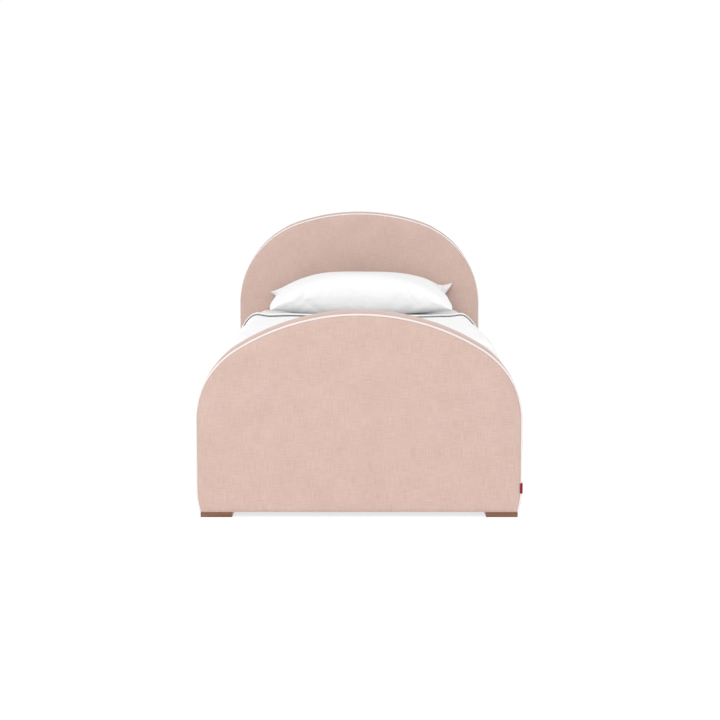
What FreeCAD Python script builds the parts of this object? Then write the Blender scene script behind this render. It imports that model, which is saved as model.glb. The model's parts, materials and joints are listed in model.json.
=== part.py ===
"""Arched upholstered toddler bed with its mattress and bedding. Millimetres, +Z up.

The origin is on the floor under the middle of the bed. The foot end faces -Y and the
head end +Y. On both boards "front" is the side that faces -Y.
"""
import FreeCAD, Part
import math
import os

V = FreeCAD.Vector

# ---- sizes that set the bed's plan -------------------------------------------------------
mattress_width = 692.0
mattress_length = 1311.0
mattress_end_gap = 19.5      # mattress end to a board's face
rail_side_gap = 12.0         # mattress side to a rail's inner face
board_overhang = 27.6        # a board's side beyond the rail's outer face
board_depth = 105.0          # front face to rear face of one board
foot_height = 16.0           # floor to the lower edge of the fabric

# ---- arch of each board: three tangent arcs on two straight sides ------------------------
footboard_top = 533.0
footboard_crown_radius = 598.0
footboard_haunch_radius = 226.0
headboard_top = 781.6
headboard_crown_radius = 678.0
headboard_haunch_radius = 302.0
corner_rise = 60.0           # height over which the lower corners draw in
corner_draw_in = 9.0

# ---- layers of a board -------------------------------------------------------------------
cover_thickness = 1.2        # woven upholstery cloth
piping_diameter = 5.5        # contrast cord in the seam between panel and edge strip
face_foam = 12.0
edge_foam = 12.0
pad_edge_relief = 8.0        # the face pads are drawn in round their edge, beside the piping
skin_thickness = 6.0         # plywood skin
dust_cover_thickness = 1.0
rib_width = 60.0             # radial width of the sawn arch segments
post_margin = 9.2            # post beyond the bracket's inner edge
bottom_rail_height = 90.0
cross_rail_height = 60.0
cross_rail_level = 0.56      # height of the cross rail as a share of the arch's spring line
haunch_segments = 2
crown_segments = 4

# ---- feet --------------------------------------------------------------------------------
foot_width = 82.0
foot_depth = 84.0
foot_inset = 10.0            # outer edge of the foot inside the board's side
foot_edge_chamfer = 0.8
foot_corner_radius = 3.0

# ---- mattress base -----------------------------------------------------------------------
slat_drop = 35.0             # top of the slats below the top of the rails
slat_thickness = 18.0
slat_width = 70.0
slat_count = 11
slat_end_gap = 3.0
ledger_width = 25.0
ledger_height = 30.0
ledger_end_gap = 25.0

# ---- side rails --------------------------------------------------------------------------
rail_core_thickness = 24.0
rail_foam = 8.0
rail_bottom = 96.0
rail_height = 234.0
rail_edge_radius = 8.0

# ---- corner brackets and fasteners -------------------------------------------------------
bracket_board_leg = 52.0
bracket_rail_leg = 60.0
bracket_thickness = 3.0
bracket_rise = 32.0          # above the rail's lower edge
bracket_drop = 19.0          # below the ledger
bracket_hole_inset = 22.0    # bolt rows from the bracket's ends
bracket_screw_inset = 15.4   # end screws of the rail leg from the bracket's ends
bracket_screw_middle = 50.0  # its middle screw above its lower end
bolt_radius = 4.0
bolt_head_flats = 13.0
bolt_head_height = 5.3
tee_nut_flange_radius = 11.0
tee_nut_flange_thickness = 1.5
tee_nut_barrel_radius = 5.2
tee_nut_barrel_length = 12.0
screw_radius = 2.2
screw_head_radius = 4.4
screw_head_height = 2.4
bracket_screw_length = 20.0
ledger_screw_length = 42.0
ledger_screw_step = 3        # a screw in every third gap between slats
ledger_screw_drop = 0.6      # of the ledger's height, below its top
slat_screw_length = 40.0
foot_screw_length = 45.0
foot_screw_spacing = 42.0
hole_clearance = 0.3         # radial, round every bolt, nut and screw
hole_run_in = 1.0            # holes start this far outside the head's underside
hole_run_out = 0.5           # and end this far beyond the tip
thread_clearance = 0.05      # bolt in its tee nut

# ---- mattress and bedding ----------------------------------------------------------------
mattress_height = 145.0
mattress_edge_radius = 22.0
ticking_thickness = 1.5
sheet_thickness = 1.2
sheet_hem_height = 6.0       # hem of the fitted sheet above the slats
rest_gap = 0.3               # between pieces of the bedding that lie on each other

duvet_thickness = 9.0
duvet_foot_gap = 6.0         # foot hem to the footboard
duvet_pillow_gap = 31.0      # head hem to the pillow's front edge
duvet_shoulder_drop = 14.0   # below the mattress top where the drape leaves its side
duvet_rail_gap = 1.6
duvet_hang = 122.0           # hem below the top of the rails

pillow_width = 624.0
pillow_depth = 448.0
pillow_height = 132.0
pillow_headboard_gap = 9.0
pillow_corner_radius = 30.0
pillow_sections = ((0.0, 60.0), (0.17, 13.2), (0.45, 0.0), (0.75, 22.0), (1.0, 90.0))
# share of its height and how far its edge is drawn in there
pillowcase_thickness = 1.5

# ---- side tab ----------------------------------------------------------------------------
tab_height = 28.0
tab_middle = 78.0            # height of its middle above the floor
tab_thickness = 1.2
tab_side_length = 14.0
tab_front_width = 6.0

# ---- values that follow ------------------------------------------------------------------
rail_inner = mattress_width / 2 + rail_side_gap
rail_outer = rail_inner + rail_core_thickness + rail_foam + 2 * cover_thickness
rail_top = rail_bottom + rail_height
board_half_width = rail_outer + board_overhang
inner_face = mattress_length / 2 + mattress_end_gap    # from the middle to each board's inner face
half_length = inner_face + board_depth
slat_top = rail_top - slat_drop
ledger_top = slat_top - slat_thickness
bracket_bottom = rail_bottom + bracket_rise
bracket_height = ledger_top - ledger_height - bracket_drop - bracket_bottom
post_inner = rail_inner - bracket_board_leg - post_margin
core_inset = cover_thickness + edge_foam        # outline of the timber inside the padding
stack = cover_thickness + face_foam             # face of the board to its plywood skin
core_bottom = foot_height + dust_cover_thickness
mattress_top = slat_top + rest_gap + mattress_height
sheet_top = mattress_top + sheet_thickness
duvet_foot = duvet_foot_gap - inner_face
duvet_head = inner_face - pillow_headboard_gap - pillow_depth - duvet_pillow_gap
SIDES = (-1, 1)


class Board:
    """Sizes of one arched board; y0 is its front face."""

    def __init__(self, name, y0, top, crown_radius, haunch_radius, bolted_side):
        self.name = name
        self.y0 = y0
        self.y1 = y0 + board_depth
        self.crown_z = top - crown_radius
        self.crown_radius = crown_radius
        self.haunch_x = board_half_width - haunch_radius
        self.haunch_radius = haunch_radius
        between = crown_radius - haunch_radius
        self.spring_z = self.crown_z + math.sqrt(between ** 2 - self.haunch_x ** 2)
        self.haunch_angle = math.atan2(self.spring_z - self.crown_z, self.haunch_x)
        self.bolted_side = bolted_side          # +1 if the rails meet its rear, -1 its front


def save(name, shape):
    shape.exportStep("parts/" + name + ".step")


def box(x0, x1, y0, y1, z0, z1):
    return Part.makeBox(x1 - x0, y1 - y0, z1 - z0, V(x0, y0, z0))


def mirrored_box(side, x0, x1, y0, y1, z0, z1):
    """A box whose x range is on the given side of the middle."""
    low, high = sorted((side * x0, side * x1))
    return box(low, high, y0, y1, z0, z1)


def cut_all(shape, tools):
    for tool in tools:
        shape = shape.cut(tool)
    return shape


def polar(centre_x, centre_z, radius, angle):
    return V(centre_x + radius * math.cos(angle), 0, centre_z + radius * math.sin(angle))


def arc(centre_x, centre_z, radius, start, end):
    points = [polar(centre_x, centre_z, radius, a) for a in (start, (start + end) / 2, end)]
    return Part.Arc(*points).toShape()


def mirror_edge(edge):
    return edge.mirror(V(0, 0, 0), V(1, 0, 0))


# ---- outline of a board ------------------------------------------------------------------
def outline_edges(board, inset, bottom):
    """Open outline from the lower right corner over the crown to the lower left one."""
    half_width = board_half_width - inset
    draw_radius = (corner_rise ** 2 + corner_draw_in ** 2) / (2 * corner_draw_in)
    draw_x = board_half_width - draw_radius
    draw_z = foot_height + corner_rise
    low_angle = -math.asin((draw_z - bottom) / (draw_radius - inset))
    right = [
        arc(draw_x, draw_z, draw_radius - inset, low_angle, 0),
        Part.makeLine(V(half_width, 0, draw_z), V(half_width, 0, board.spring_z)),
        arc(board.haunch_x, board.spring_z, board.haunch_radius - inset, 0, board.haunch_angle),
    ]
    crown = arc(
        0, board.crown_z, board.crown_radius - inset, board.haunch_angle, math.pi - board.haunch_angle
    )
    left = [mirror_edge(edge) for edge in reversed(right)]
    return right + [crown] + left


def plate(board, inset, y0, y1, bottom=foot_height):
    """A flat plate with the board's outline drawn in by inset."""
    edges = outline_edges(board, inset, bottom)
    ends = [edge.Vertexes for edge in (edges[0], edges[-1])]
    low = [v.Point for pair in ends for v in pair if abs(v.Point.z - bottom) < 1e-6]
    wire = Part.Wire(Part.sortEdges(edges + [Part.makeLine(low[0], low[1])])[0])
    solid = Part.Face(wire).extrude(V(0, y1 - y0, 0))
    solid.translate(V(0, y0, 0))
    return solid


def band(board, outer_inset, inner_inset, y0, y1):
    """The strip between two insets of the outline, open at the bottom."""
    outer = plate(board, outer_inset, y0, y1)
    return outer.cut(plate(board, inner_inset, y0, y1))


def rib_segment(centre_x, centre_z, radius, start, end, y0, y1):
    """One sawn segment of the arch rib, between two angles."""
    outer = radius - core_inset
    inner = outer - rib_width
    edges = [
        arc(centre_x, centre_z, outer, start, end),
        Part.makeLine(polar(centre_x, centre_z, outer, end), polar(centre_x, centre_z, inner, end)),
        arc(centre_x, centre_z, inner, start, end),
        Part.makeLine(polar(centre_x, centre_z, inner, start), polar(centre_x, centre_z, outer, start)),
    ]
    wire = Part.Wire(Part.sortEdges(edges)[0])
    solid = Part.Face(wire).extrude(V(0, y1 - y0, 0))
    solid.translate(V(0, y0, 0))
    return solid


def arch_rib(board, y0, y1):
    segments = []
    step = board.haunch_angle / haunch_segments
    for i in range(haunch_segments):
        right = rib_segment(
            board.haunch_x, board.spring_z, board.haunch_radius, i * step, (i + 1) * step, y0, y1
        )
        segments += [right, right.mirror(V(0, 0, 0), V(1, 0, 0))]
    step = (math.pi - 2 * board.haunch_angle) / crown_segments
    for i in range(crown_segments):
        start = board.haunch_angle + i * step
        segments.append(rib_segment(0, board.crown_z, board.crown_radius, start, start + step, y0, y1))
    return Part.makeCompound(segments)


def piping(board, y):
    """Cord along the outline, its middle at y."""
    radius = piping_diameter / 2
    path = Part.Wire(Part.sortEdges(outline_edges(board, radius, foot_height))[0])
    path.translate(V(0, y, 0))
    start = path.OrderedVertexes[0].Point
    circle = Part.Wire(Part.makeCircle(radius, start, path.OrderedEdges[0].tangentAt(
        path.OrderedEdges[0].FirstParameter)))
    cord = path.makePipeShell([circle], True, False)
    reach = board_half_width + piping_diameter
    below = box(-reach, reach, y - piping_diameter, y + piping_diameter, 0, foot_height)
    return cord.cut(below)


# ---- fasteners ---------------------------------------------------------------------------
def cylinder(start, direction, radius, length):
    return Part.makeCylinder(radius, length, start, direction)


def screw(start, direction, length, head_out=screw_head_height):
    """A screw whose head's underside is at start; direction is the way it is driven."""
    shank = cylinder(start, direction, screw_radius, length)
    head = cylinder(start - direction * head_out, direction, screw_head_radius, head_out)
    return shank.fuse(head).removeSplitter()


def screw_hole(start, direction, length):
    radius = screw_radius + hole_clearance
    return cylinder(start - direction * hole_run_in, direction, radius, length + hole_run_in + hole_run_out)


def hexagon_head(start, direction):
    radius = bolt_head_flats / math.sqrt(3)
    points = [V(radius * math.cos(i * math.pi / 3), 0, radius * math.sin(i * math.pi / 3)) for i in range(7)]
    head = Part.Face(Part.makePolygon(points)).extrude(V(0, bolt_head_height, 0))
    return head.translated(start - direction * bolt_head_height if direction.y > 0 else start)


def bolt_points():
    """Where the rail brackets bolt to a board: (x, z) pairs."""
    rows = (bracket_bottom + bracket_hole_inset, bracket_bottom + bracket_height - bracket_hole_inset)
    x = rail_inner - bracket_thickness - (bracket_board_leg - bracket_thickness) / 2
    return [(side * x, z) for side in SIDES for z in rows]


def bolt_line(board):
    """The bracket's face on a board, and the way its bolts are driven."""
    if board.bolted_side > 0:
        return board.y1 + bracket_thickness, V(0, -1, 0)
    return board.y0 - bracket_thickness, V(0, 1, 0)


def bolt_length():
    post_depth = board_depth - 2 * (stack + skin_thickness)
    return bracket_thickness + stack + skin_thickness + post_depth


def bolts(board):
    face, direction = bolt_line(board)
    made = []
    for x, z in bolt_points():
        start = V(x, face, z)
        shank = cylinder(start, direction, bolt_radius, bolt_length())
        made.append(shank.fuse(hexagon_head(start, direction)).removeSplitter())
    return made


def bolt_holes(board):
    face, direction = bolt_line(board)
    radius = bolt_radius + hole_clearance
    return [cylinder(V(x, face, z), direction, radius, bolt_length()) for x, z in bolt_points()]


def tee_nuts(board, clearance=0.0):
    """Flanged nuts let into the far side of the posts; with clearance, the holes for them."""
    face, direction = bolt_line(board)
    made = []
    for x, z in bolt_points():
        end = V(x, face, z) + direction * bolt_length()
        flange_radius = tee_nut_flange_radius + clearance
        barrel_radius = tee_nut_barrel_radius + clearance
        flange_depth = tee_nut_flange_thickness
        barrel_depth = tee_nut_barrel_length
        nut = cylinder(end - direction * flange_depth, direction, flange_radius, flange_depth)
        nut = nut.fuse(cylinder(end - direction * barrel_depth, direction, barrel_radius, barrel_depth))
        if not clearance:
            bore_radius = bolt_radius + thread_clearance
            nut = nut.cut(cylinder(end - direction * barrel_depth, direction, bore_radius, barrel_depth))
        made.append(nut.removeSplitter())
    return made


def foot_middle(board):
    return board_half_width - foot_inset - foot_width / 2, (board.y0 + board.y1) / 2


def foot_screw_starts(board, side):
    x, y = foot_middle(board)
    offsets = (-foot_screw_spacing / 2, foot_screw_spacing / 2)
    return [V(side * x + dx, y, screw_head_height) for dx in offsets]


# ---- one board ---------------------------------------------------------------------------
def make_board(board):
    up = V(0, 0, 1)
    frame_y0 = board.y0 + stack + skin_thickness
    frame_y1 = board.y1 - stack - skin_thickness
    holes = bolt_holes(board)
    foot_holes = [
        screw_hole(start, up, foot_screw_length) for side in SIDES for start in foot_screw_starts(board, side)
    ]
    bolted = "rear" if board.bolted_side > 0 else "front"

    def finish(part, shape):
        if part.startswith(bolted) and "piping" not in part:
            shape = cut_all(shape, holes)
        save(board.name + "_" + part, shape)

    # Cloth panels, foam pads and plywood skins, from each face inwards.
    for part, face, inward in (("front", board.y0, 1), ("rear", board.y1, -1)):
        def layer(inset, near, far, bottom=foot_height):
            low, high = sorted((face + inward * near, face + inward * far))
            return plate(board, inset, low, high, bottom)

        finish(part + "_cover", layer(piping_diameter, 0, cover_thickness))
        pad = layer(piping_diameter + pad_edge_relief, cover_thickness, piping_diameter)
        pad = pad.fuse(layer(cover_thickness + pad_edge_relief, piping_diameter, stack)).removeSplitter()
        finish(part + "_foam", pad)
        finish(part + "_skin", layer(core_inset, stack, stack + skin_thickness, core_bottom))
        finish(part + "_piping", piping(board, face + inward * piping_diameter / 2))

    save(board.name + "_edge_cover", band(
        board, 0, cover_thickness, board.y0 + piping_diameter, board.y1 - piping_diameter))
    save(board.name + "_edge_foam", band(
        board, cover_thickness, core_inset, board.y0 + stack, board.y1 - stack))

    # Timber frame between the skins.
    core = plate(board, core_inset, frame_y0, frame_y1, core_bottom)
    core_half = board_half_width - core_inset
    save(board.name + "_arch_rib", arch_rib(board, frame_y0, frame_y1))
    posts = []
    for side in SIDES:
        blank = mirrored_box(
            side, post_inner, core_half, frame_y0, frame_y1, core_bottom, board.spring_z
        )
        post = cut_all(blank.common(core), holes + foot_holes + tee_nuts(board, hole_clearance))
        posts.append(post)
    save(board.name + "_posts", Part.makeCompound(posts))
    save(board.name + "_bottom_rail", box(
        -post_inner, post_inner, frame_y0, frame_y1, core_bottom, core_bottom + bottom_rail_height))
    cross_z = board.spring_z * cross_rail_level + bottom_rail_height / 2
    save(board.name + "_cross_rail", box(
        -post_inner, post_inner, frame_y0, frame_y1, cross_z, cross_z + cross_rail_height))

    dust = plate(board, core_inset, board.y0 + stack, board.y1 - stack)
    dust = dust.common(box(-core_half, core_half, board.y0, board.y1, foot_height, core_bottom))
    save(board.name + "_dust_cover", cut_all(dust, foot_holes))


def make_feet(board, end):
    x, y = foot_middle(board)
    for side, side_name in ((-1, "left"), (1, "right")):
        foot = box(
            side * x - foot_width / 2, side * x + foot_width / 2,
            y - foot_depth / 2, y + foot_depth / 2, 0, foot_height)
        upright = [e for e in foot.Edges if abs(e.Vertexes[0].Z - e.Vertexes[1].Z) > 1]
        foot = foot.makeFillet(foot_corner_radius, upright)
        lower = [e for e in foot.Edges if all(abs(v.Z) < 1e-6 for v in e.Vertexes)]
        foot = foot.makeChamfer(foot_edge_chamfer, lower)
        for start in foot_screw_starts(board, side):
            hole = screw_hole(start, V(0, 0, 1), foot_height)
            recess = cylinder(V(start.x, start.y, 0), V(0, 0, 1), screw_head_radius + hole_clearance, start.z)
            foot = cut_all(foot, [hole, recess])
        save(end + "_" + side_name + "_foot", foot)


# ---- side rails, ledgers, slats and brackets ---------------------------------------------
def rounded_bar(x0, x1, z0, z1, radius):
    """A bar between the boards with its four long edges rounded."""
    bar = box(x0, x1, -inner_face, inner_face, z0, z1)
    along = [e for e in bar.Edges if abs(e.Vertexes[0].Y - e.Vertexes[1].Y) > 1]
    return bar.makeFillet(radius, along)


def bracket_screw_starts(side, end):
    y = end * (inner_face - (bracket_rail_leg + bracket_thickness) / 2)
    x = side * (rail_inner - bracket_thickness)
    rises = (bracket_screw_inset, bracket_screw_middle, bracket_height - bracket_screw_inset)
    return [V(x, y, bracket_bottom + rise) for rise in rises]


def slat_middles():
    reach = (mattress_length - slat_width) / 2
    step = 2 * reach / (slat_count - 1)
    return [-reach + i * step for i in range(slat_count)]


def ledger_screw_starts(side):
    """In every third gap between slats, clear of the slats' own screws."""
    x = side * (rail_inner - ledger_width)
    z = ledger_top - ledger_height * ledger_screw_drop
    middles = slat_middles()
    gaps = [(a + b) / 2 for a, b in zip(middles, middles[1:])]
    return [V(x, y, z) for y in gaps[::ledger_screw_step]]


def slat_screw_starts(side):
    x = side * (rail_inner - ledger_width / 2)
    return [V(x, y, slat_top - screw_head_height) for y in slat_middles()]


def make_side(side, name):
    outward = V(side, 0, 0)
    down = V(0, 0, -1)
    low, high = sorted((side * rail_inner, side * rail_outer))
    t = cover_thickness
    outer = rounded_bar(low, high, rail_bottom, rail_top, rail_edge_radius)
    lining = rounded_bar(low + t, high - t, rail_bottom + t, rail_top - t, rail_edge_radius - t)
    core_box = mirrored_box(
        side, rail_inner, rail_inner + t + rail_core_thickness, -inner_face, inner_face,
        rail_bottom, rail_top - t - rail_foam)
    bracket_starts = [p for end in SIDES for p in bracket_screw_starts(side, end)]
    holes = [screw_hole(p, outward, bracket_screw_length) for p in bracket_starts]
    holes += [screw_hole(p, outward, ledger_screw_length) for p in ledger_screw_starts(side)]
    save(name + "_rail_core", cut_all(lining.common(core_box), holes))
    save(name + "_rail_foam", lining.cut(core_box))
    save(name + "_rail_cover", cut_all(outer.cut(lining), holes))

    ledger = mirrored_box(
        side, rail_inner - ledger_width, rail_inner, ledger_end_gap - inner_face,
        inner_face - ledger_end_gap, ledger_top - ledger_height, ledger_top)
    ledger_holes = [screw_hole(p, outward, ledger_screw_length) for p in ledger_screw_starts(side)]
    ledger_holes += [screw_hole(p, down, slat_screw_length) for p in slat_screw_starts(side)]
    save(name + "_ledger", cut_all(ledger, ledger_holes))


def make_bracket(side, board, end, name):
    """Steel angle in the inside corner between a rail and a board."""
    z0, z1 = bracket_bottom, bracket_bottom + bracket_height
    near, on_board = inner_face, inner_face - bracket_thickness
    on_rail = rail_inner - bracket_thickness
    board_leg = mirrored_box(
        side, rail_inner - bracket_board_leg, rail_inner, *sorted((end * near, end * on_board)), z0, z1)
    rail_leg = mirrored_box(
        side, on_rail, rail_inner, *sorted((end * near, end * (near - bracket_rail_leg))), z0, z1)
    bracket = board_leg.fuse(rail_leg).removeSplitter()
    outward = V(side, 0, 0)
    holes = bolt_holes(board)
    holes += [screw_hole(p, outward, bracket_thickness) for p in bracket_screw_starts(side, end)]
    save(name, cut_all(bracket, holes))


def make_slats():
    reach = rail_inner - slat_end_gap
    starts = zip(slat_screw_starts(-1), slat_screw_starts(1))
    slats = []
    for y, pair in zip(slat_middles(), starts):
        slat = box(-reach, reach, y - slat_width / 2, y + slat_width / 2, ledger_top, slat_top)
        for start in pair:
            hole = screw_hole(start, V(0, 0, -1), slat_thickness)
            recess = cylinder(start, V(0, 0, 1), screw_head_radius + hole_clearance, screw_head_height)
            slat = cut_all(slat, [hole, recess])
        slats.append(slat)
    save("slats", Part.makeCompound(slats))


# ---- mattress and bedding ----------------------------------------------------------------
def mattress_block(grow, bottom):
    """The mattress's block with all edges rounded, grown by grow on its sides and top."""
    w = mattress_width / 2 + grow
    d = mattress_length / 2 + grow
    radius = mattress_edge_radius + grow
    low = slat_top + rest_gap + max(0.0, -grow)
    block = box(-w, w, -d, d, low, mattress_top + grow)
    block = block.makeFillet(radius, block.Edges)
    if bottom is not None:
        block = block.common(box(-w, w, -d, d, bottom, mattress_top + grow))
    return block


def drape_face(thickness):
    """Cross-section of the duvet: flat on the mattress, then down over each side rail."""
    base = sheet_top + rest_gap
    shoulder_x = mattress_width / 2 + sheet_thickness + rest_gap
    hang_x = rail_outer + duvet_rail_gap
    half = [
        V(shoulder_x - duvet_shoulder_drop, 0, base),
        V(shoulder_x, 0, base - duvet_shoulder_drop),
        V(hang_x, 0, rail_top + duvet_rail_gap),
        V(hang_x, 0, rail_top - duvet_hang),
    ]
    points = [V(-p.x, 0, p.z) for p in reversed(half)] + half
    return Part.makePolygon(points).makeOffset2D(thickness, 0, True, True, False)


def make_duvet():
    duvet = drape_face(duvet_thickness).extrude(V(0, duvet_head - duvet_foot, 0))
    save("duvet", duvet.translated(V(0, duvet_foot, 0)))


def cushion(width, depth, height, rear, bottom):
    """A crowned pillow shape: widest at its seam, smaller above and below it."""
    middle = rear - depth / 2
    wires = []
    for share, draw_in in pillow_sections:
        w = width / 2 - draw_in
        d = depth / 2 - draw_in
        z = bottom + share * height
        slab = box(-w, w, middle - d, middle + d, z, z + 1)
        upright = [e for e in slab.Edges if abs(e.Vertexes[0].Z - e.Vertexes[1].Z) > 0.5]
        slab = slab.makeFillet(pillow_corner_radius, upright)
        lowest = min(slab.Faces, key=lambda f: f.CenterOfMass.z)
        wires.append(lowest.OuterWire)
    return Part.makeLoft(wires, True, True)


def make_bedding():
    core = mattress_block(-ticking_thickness, None)
    ticking = mattress_block(0.0, None)
    save("mattress_core", core)
    save("mattress_ticking", ticking.cut(core))
    hem = slat_top + sheet_hem_height
    save("fitted_sheet", mattress_block(sheet_thickness, hem).cut(ticking))
    make_duvet()
    rear = inner_face - pillow_headboard_gap
    bottom = sheet_top + rest_gap
    t = pillowcase_thickness
    case = cushion(pillow_width, pillow_depth, pillow_height, rear, bottom)
    insert = cushion(pillow_width - 2 * t, pillow_depth - 2 * t, pillow_height - 2 * t, rear - t, bottom + t)
    save("pillow_insert", insert)
    save("pillowcase", case.cut(insert))


# ---- tab ---------------------------------------------------------------------------------
def make_tab(board):
    """A blank folded tab over the front piping of the footboard's right side."""
    w = board_half_width
    z0, z1 = tab_middle - tab_height / 2, tab_middle + tab_height / 2
    side = box(w, w + tab_thickness, board.y0 - tab_thickness, board.y0 + tab_side_length, z0, z1)
    front = box(w - tab_front_width, w, board.y0 - tab_thickness, board.y0, z0, z1)
    save("side_tab", side.fuse(front).removeSplitter())


# ---- whole bed ---------------------------------------------------------------------------
def main():
    os.makedirs("parts", exist_ok=True)
    footboard = Board(
        "footboard", -half_length, footboard_top, footboard_crown_radius, footboard_haunch_radius, 1)
    headboard = Board(
        "headboard", half_length - board_depth, headboard_top, headboard_crown_radius,
        headboard_haunch_radius, -1)
    ends = ((footboard, -1, "foot"), (headboard, 1, "head"))
    sides = ((-1, "left"), (1, "right"))
    up = V(0, 0, 1)

    for board, end, end_name in ends:
        make_board(board)
        make_feet(board, end_name)
        for side, side_name in sides:
            make_bracket(side, board, end, side_name + "_" + end_name + "_bracket")
    for side, side_name in sides:
        make_side(side, side_name)
    make_slats()
    make_bedding()
    make_tab(footboard)

    boards = (footboard, headboard)
    save("bracket_bolts", Part.makeCompound([b for board in boards for b in bolts(board)]))
    save("tee_nuts", Part.makeCompound([n for board in boards for n in tee_nuts(board)]))
    save("bracket_screws", Part.makeCompound([
        screw(p, V(side, 0, 0), bracket_screw_length)
        for side in SIDES for end in SIDES for p in bracket_screw_starts(side, end)]))
    save("ledger_screws", Part.makeCompound([
        screw(p, V(side, 0, 0), ledger_screw_length)
        for side in SIDES for p in ledger_screw_starts(side)]))
    save("slat_screws", Part.makeCompound([
        screw(p, V(0, 0, -1), slat_screw_length) for side in SIDES for p in slat_screw_starts(side)]))
    save("foot_screws", Part.makeCompound([
        screw(p, up, foot_screw_length)
        for board in boards for side in SIDES for p in foot_screw_starts(board, side)]))


main()
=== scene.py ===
"""Looks of the arched upholstered toddler bed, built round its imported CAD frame. Metres, +Z up."""
import bpy
import bmesh
import json
import math
import numpy as np
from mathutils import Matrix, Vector, noise
from mathutils.geometry import delaunay_2d_cdt


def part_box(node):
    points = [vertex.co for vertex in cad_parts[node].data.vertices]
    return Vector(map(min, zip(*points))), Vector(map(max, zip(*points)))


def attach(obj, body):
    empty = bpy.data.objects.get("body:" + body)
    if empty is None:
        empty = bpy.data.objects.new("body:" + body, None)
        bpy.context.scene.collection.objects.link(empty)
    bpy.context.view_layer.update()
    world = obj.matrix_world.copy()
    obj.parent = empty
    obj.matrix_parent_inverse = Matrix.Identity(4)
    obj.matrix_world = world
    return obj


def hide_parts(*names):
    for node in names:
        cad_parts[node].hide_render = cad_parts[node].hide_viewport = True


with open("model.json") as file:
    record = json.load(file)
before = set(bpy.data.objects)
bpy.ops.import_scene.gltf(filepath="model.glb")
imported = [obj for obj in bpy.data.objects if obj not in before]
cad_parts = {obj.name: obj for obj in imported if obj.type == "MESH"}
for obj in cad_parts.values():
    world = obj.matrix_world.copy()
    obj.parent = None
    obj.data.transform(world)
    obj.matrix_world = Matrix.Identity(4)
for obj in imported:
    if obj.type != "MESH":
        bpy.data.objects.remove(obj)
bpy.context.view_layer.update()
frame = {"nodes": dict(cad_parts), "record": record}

MM = 0.001
scene = bpy.context.scene

# ---- sizes of the boards' cloth work ------------------------------------------------------
CROWN_RADIUS = {"footboard": 0.598, "headboard": 0.678}
HAUNCH_RADIUS = {"footboard": 0.226, "headboard": 0.302}
CORNER_RISE = 60 * MM
CORNER_DRAW_IN = 9 * MM
CORD_RADIUS = 2.75 * MM
CLOTH = 1.2 * MM
OUTLINE_STEP = 6 * MM
PANEL_SEAM_INSET = 5.0 * MM      # where the panel dips beside the cord
PANEL_RINGS = (0, 0.6, 1.4, 2.6, 4.5, 7.5, 12, 18, 26)    # mm further in from that dip
STRIP_ROWS = (0, 0.6, 1.5, 3, 5.5)                        # mm in from the strip's seam
PANEL_GRID = 11 * MM
PANEL_FIELD_DEPTH = 30 * MM      # how far inside the last ring the field counts as being
PANEL_CROWN = 2.2 * MM
SEAM_DIP = 2.3 * MM
HEM_UNDER = 9 * MM               # cloth turned under the board
HEM_LIFT = 0.3 * MM
ARCH_SWELL = 5.2 * MM            # how far the edge strip stands above the cords over the arch

# ---- shape of the bedding; pairs are (left, right) ----------------------------------------
FOOT_TUCK = 60 * MM              # duvet tucked down between mattress and footboard
DUVET_THICKNESS = 7.2 * MM
FLAP_FOLD = 9.5 * MM             # depth of the upright folds at the hem
HEM_WAVE = 9 * MM
TOP_SWELL = 4.5 * MM
TOP_RIDGE = 2.4 * MM
SHOULDER_LIFT = 6.5 * MM         # fullness over the mattress's edge near the pillow
SHOULDER_X = 326 * MM
SIDE_BULGE = 15 * MM             # fullness of the flaps between mattress and rail
BULGE_X = 335 * MM
PILLOW_SLUMP = (1.2, 0.75)       # how soon the crown falls away towards each end
PILLOW_END_PUSH = (-28 * MM, 44 * MM)
EAR_LIFT = (-9 * MM, 30 * MM)    # rear corners
EAR_SPREAD = (2 * MM, 19 * MM)
FRONT_GATHER = (26 * MM, 12 * MM)
FRONT_DROOP = 46 * MM

# ---- camera ------------------------------------------------------------------------------
CAMERA_DISTANCE = 3.821          # from the footboard's face
CAMERA_HEIGHT = 0.796
CAMERA_SHIFT = 0.0023
CAMERA_DOWN = 5.775              # degrees below level
CAMERA_LENS = 75.35


# ======================================================================================
# Meshes
# ======================================================================================
def mesh_object(name, vertices, faces):
    mesh = bpy.data.meshes.new(name)
    mesh.from_pydata([tuple(v) for v in vertices], [], faces)
    mesh.validate()
    mesh.shade_smooth()
    obj = bpy.data.objects.new(name, mesh)
    scene.collection.objects.link(obj)
    return obj


def grid_faces(rows, columns, loop_columns=False, first=0):
    """Quads over a grid whose vertex (i, j) is number first + i * columns + j."""
    faces = []
    for i in range(rows - 1):
        row, next_row = first + i * columns, first + (i + 1) * columns
        for j in range(columns if loop_columns else columns - 1):
            k = (j + 1) % columns
            faces.append((row + j, next_row + j, next_row + k, row + k))
    return faces


def points_of(obj):
    co = np.empty(len(obj.data.vertices) * 3)
    obj.data.vertices.foreach_get("co", co)
    return co.reshape(-1, 3)


def set_points(obj, co):
    obj.data.vertices.foreach_set("co", np.asarray(co, float).ravel())
    obj.data.update()


def cloth_coordinates(obj, uv):
    """Where each vertex lies on its flat cloth, in metres, for the weave."""
    attribute = obj.data.attributes.new("cloth", "FLOAT_VECTOR", "POINT")
    flat = np.zeros((len(uv), 3))
    flat[:, :2] = uv
    attribute.data.foreach_set("vector", flat.ravel())


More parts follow.
